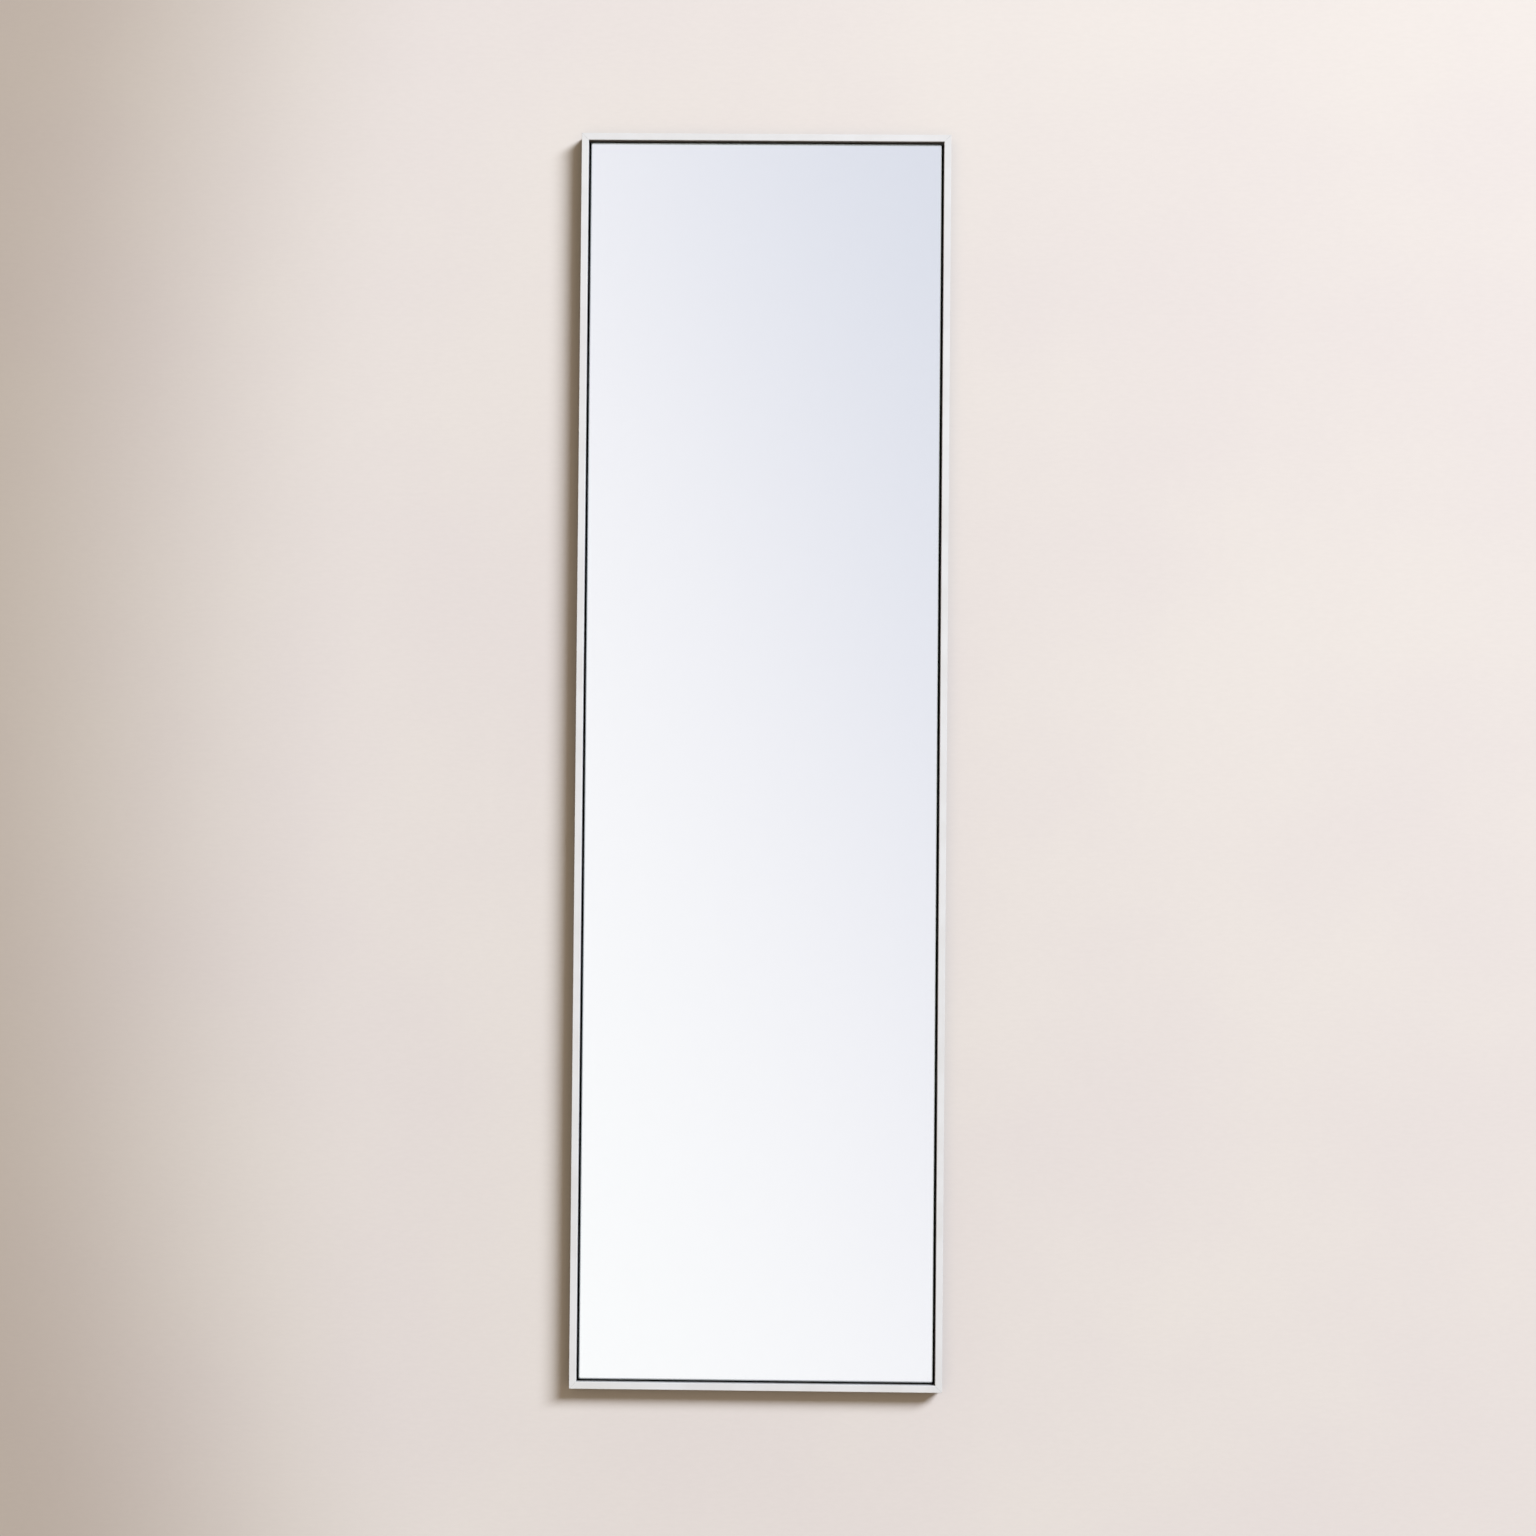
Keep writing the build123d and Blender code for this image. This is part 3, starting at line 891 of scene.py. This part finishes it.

# The wall that the mirror hangs on: smooth plaster in a warm white, darker again far to the right, and
# darkened towards the left with painted shade where the light falls off. It is no part of the mirror, and
# from behind the camera looks through it.
wall_white = (239, 232, 228)
# The darker tone for the left end of the wall is painted shade, standing in for the light falling off there.
wall_left_painted_shade = (197, 185, 174)
wall_cloud_size = 0.35
wall_cloud_tints = ((0.985, 0.98, 0.985, 1), (1.01, 1.015, 1.0, 1))
wall_skin_size = 0.004
wall_skin_tints = (0.992, 1.008)
wall_size = 12.0
wall_gap = 0.0004
painted_shade_left_range = (-0.47, -1.05)
painted_shade_left_bow = 0.12
wall_right = (186, 181, 178)
wall_right_range = (1.1, 4.5)
wall_window = 0.03

wall_paint = bpy.data.materials.new("wall plaster")
wall_paint.use_nodes = True
wall_tree = wall_paint.node_tree
wall_tree.nodes.remove(wall_tree.nodes["Principled BSDF"])
on_wall = wall_tree.nodes.new("ShaderNodeTexCoord").outputs["Object"]
wall_split = add_node(wall_paint, "ShaderNodeSeparateXYZ", {"Vector": on_wall})
height_squared = sums(wall_paint, "POWER", wall_split.outputs["Z"], 2.0)
# Mask of the painted shade at the left end of the wall, whose edge reaches further in at the top and bottom.
painted_shade_bow = sums(wall_paint, "MULTIPLY", height_squared, painted_shade_left_bow)
painted_shade_place = sums(wall_paint, "SUBTRACT", wall_split.outputs["X"], painted_shade_bow)
painted_shade_left_share = between(wall_paint, painted_shade_place, *painted_shade_left_range)
right_share = between(wall_paint, wall_split.outputs["X"], *wall_right_range)
wall_cloud = grain(wall_paint, on_wall, wall_cloud_size, detail=3.0)
wall_skin = grain(wall_paint, on_wall, wall_skin_size, detail=5.0, roughness=0.6, stretch=(3, 1, 1))
wall_colour = blend(wall_paint, painted_shade_left_share, shade(*wall_white), shade(*wall_left_painted_shade))
wall_colour = blend(wall_paint, right_share, wall_colour, shade(*wall_right))
cloud_tint = blend(wall_paint, between(wall_paint, wall_cloud, *gentle_contrast), *wall_cloud_tints)
skin_tint = between(wall_paint, wall_skin, *gentle_contrast, *wall_skin_tints)
wall_colour = add_node(
    wall_paint, "ShaderNodeVectorMath", {0: wall_colour, 1: cloud_tint}, operation="MULTIPLY"
).outputs[0]
wall_colour = add_node(
    wall_paint, "ShaderNodeVectorMath", {0: wall_colour, "Scale": skin_tint}, operation="SCALE"
).outputs[0]
plaster = add_node(wall_paint, "ShaderNodeBsdfDiffuse", {"Color": wall_colour})
see_through = add_node(wall_paint, "ShaderNodeBsdfTransparent", {})
rays = add_node(wall_paint, "ShaderNodeLightPath", {})
behind = add_node(wall_paint, "ShaderNodeNewGeometry", {}).outputs["Backfacing"]
seen_from_behind = sums(wall_paint, "MULTIPLY", behind, rays.outputs["Is Camera Ray"])
wall_across = sums(wall_paint, "ABSOLUTE", wall_split.outputs["X"])
wall_upward = sums(wall_paint, "ABSOLUTE", wall_split.outputs["Z"])
in_width = sums(wall_paint, "LESS_THAN", wall_across, frame_half_width + wall_window)
in_height = sums(wall_paint, "LESS_THAN", wall_upward, frame_half_height + wall_window)
at_mirror = sums(wall_paint, "MULTIPLY", in_width, in_height)
other_ray = sums(wall_paint, "SUBTRACT", 1.0, rays.outputs["Is Camera Ray"])
lights_back = sums(wall_paint, "MULTIPLY", at_mirror, other_ray)
open_share = sums(wall_paint, "MAXIMUM", seen_from_behind, lights_back)
wall_mix = add_node(
    wall_paint, "ShaderNodeMixShader", {0: open_share, 1: plaster.outputs[0], 2: see_through.outputs[0]}
)
wall_tree.links.new(wall_mix.outputs[0], wall_tree.nodes["Material Output"].inputs["Surface"])

clear_selection()
bpy.ops.mesh.primitive_plane_add(
    size=wall_size, rotation=(math.radians(90), 0, 0), location=(0, wall_gap, 0)
)
wall = bpy.context.object
wall.name = "wall"
bpy.ops.object.transform_apply()
wall.data.materials.append(wall_paint)

# Studio light: one wide oval lamp far to the front, high on the right, and another from behind for
# the back of the mirror. Neither shows in the mirror, and no light is thrown back and forth.
key_towards = Vector((0.815, -1.0, 0.715))
key_distance = 16.0
key_colour = (0.87, 0.92, 1.0)
key_level = 3.58
key_spread = (math.radians(31.5), math.radians(15))
back_towards = Vector((-0.5, 1.0, 0.6))
back_distance = 6.0
back_colour = (1.0, 1.0, 1.0)
back_level = 1.05
back_spread = (math.radians(35), math.radians(35))


def studio_lamp(name, towards, distance, spread, level, colour):
    """A lamp on the given side. Its spread is the width and height it fills, as angles from the mirror."""
    width, height = (2 * distance * math.tan(angle / 2) for angle in spread)
    lamp_data = bpy.data.lights.new(name, "AREA")
    lamp_data.shape = "ELLIPSE"
    lamp_data.size = width
    lamp_data.size_y = height
    lamp_data.energy = level * math.pi * (distance ** 2 + width * height / 4)
    lamp_data.color = colour
    lamp = bpy.data.objects.new(name, lamp_data)
    lamp.rotation_mode = "QUATERNION"
    lamp.rotation_quaternion = towards.to_track_quat("Z", "Y")
    lamp.location = towards.normalized() * distance
    lamp.visible_camera = False
    bpy.context.scene.collection.objects.link(lamp)
    return lamp


key_lamp = studio_lamp("key_lamp", key_towards, key_distance, key_spread, key_level, key_colour)
key_lamp.visible_glossy = False
key_lamp.visible_transmission = False
studio_lamp("back_lamp", back_towards, back_distance, back_spread, back_level, back_colour)
bpy.context.scene.cycles.diffuse_bounces = 0

# The room: a warm glow straight in front, dim round that, and paler at the sides and behind. What the
# mirror and the metal show of it is a soft screen, bluish high on the right and white low on the
# left, with a greyer ceiling beyond the one end and a warm floor beyond the other.
room_front = (0.82, 0.66, 0.47, 1)
room_round = (0.03, 0.025, 0.02, 1)
room_side = (0.75, 0.72, 0.68, 1)
room_back = (0.78, 0.78, 0.78, 1)
front_cone = (-0.92, -0.75)
side_band = (-0.3, -0.05)
back_band = (0.0, 0.2)
room_seen = (236, 232, 228)
screen_slope = (2.35, 0.0, 1.0)
screen_range = (-0.31, 0.28)
screen_low = (255, 255, 255)
screen_mid = (246, 244, 249)
screen_high = (218, 221, 233)
ceiling_tone = (142, 150, 166)
ceiling_range = (0.3, 2.6)
floor_tone = (190, 180, 168)
floor_range = (-0.45, -2.6)

world = bpy.data.worlds.new("room")
bpy.context.scene.world = world
world.use_nodes = True
sky = world.node_tree.nodes["Background"]
towards = world.node_tree.nodes.new("ShaderNodeTexCoord").outputs["Generated"]
forward = add_node(world, "ShaderNodeSeparateXYZ", {"Vector": towards}).outputs["Y"]
fill = blend(world, between(world, forward, *front_cone), room_front, room_round)
fill = blend(world, between(world, forward, *side_band), fill, room_side)
fill = blend(world, between(world, forward, *back_band), fill, room_back)
slope = add_node(world, "ShaderNodeVectorMath", {0: towards, 1: screen_slope}, operation="DOT_PRODUCT")
screen = add_node(world, "ShaderNodeMapRange", {"Value": slope.outputs["Value"]})
screen.inputs["From Min"].default_value, screen.inputs["From Max"].default_value = screen_range
screen_tones = add_node(world, "ShaderNodeValToRGB", {"Fac": screen.outputs["Result"]})
screen_ramp = screen_tones.color_ramp
screen_ramp.interpolation = "B_SPLINE"
screen_ramp.elements[0].color = shade(*screen_low)
screen_ramp.elements[1].color = shade(*screen_high)
screen_ramp.elements.new(0.5).color = shade(*screen_mid)
rays = add_node(world, "ShaderNodeLightPath", {})
mirrored = sums(world, "MAXIMUM", rays.outputs["Is Glossy Ray"], rays.outputs["Is Transmission Ray"])
ceiling_share = between(world, slope.outputs["Value"], *ceiling_range)
floor_share = between(world, slope.outputs["Value"], *floor_range)
shown = blend(world, ceiling_share, screen_tones.outputs["Color"], shade(*ceiling_tone))
shown = blend(world, floor_share, shown, shade(*floor_tone))
lit = blend(world, mirrored, fill, shown)
lit = blend(world, rays.outputs["Is Camera Ray"], lit, shade(*room_seen))
world.node_tree.links.new(lit, sky.inputs["Color"])
sky.inputs["Strength"].default_value = 1.0
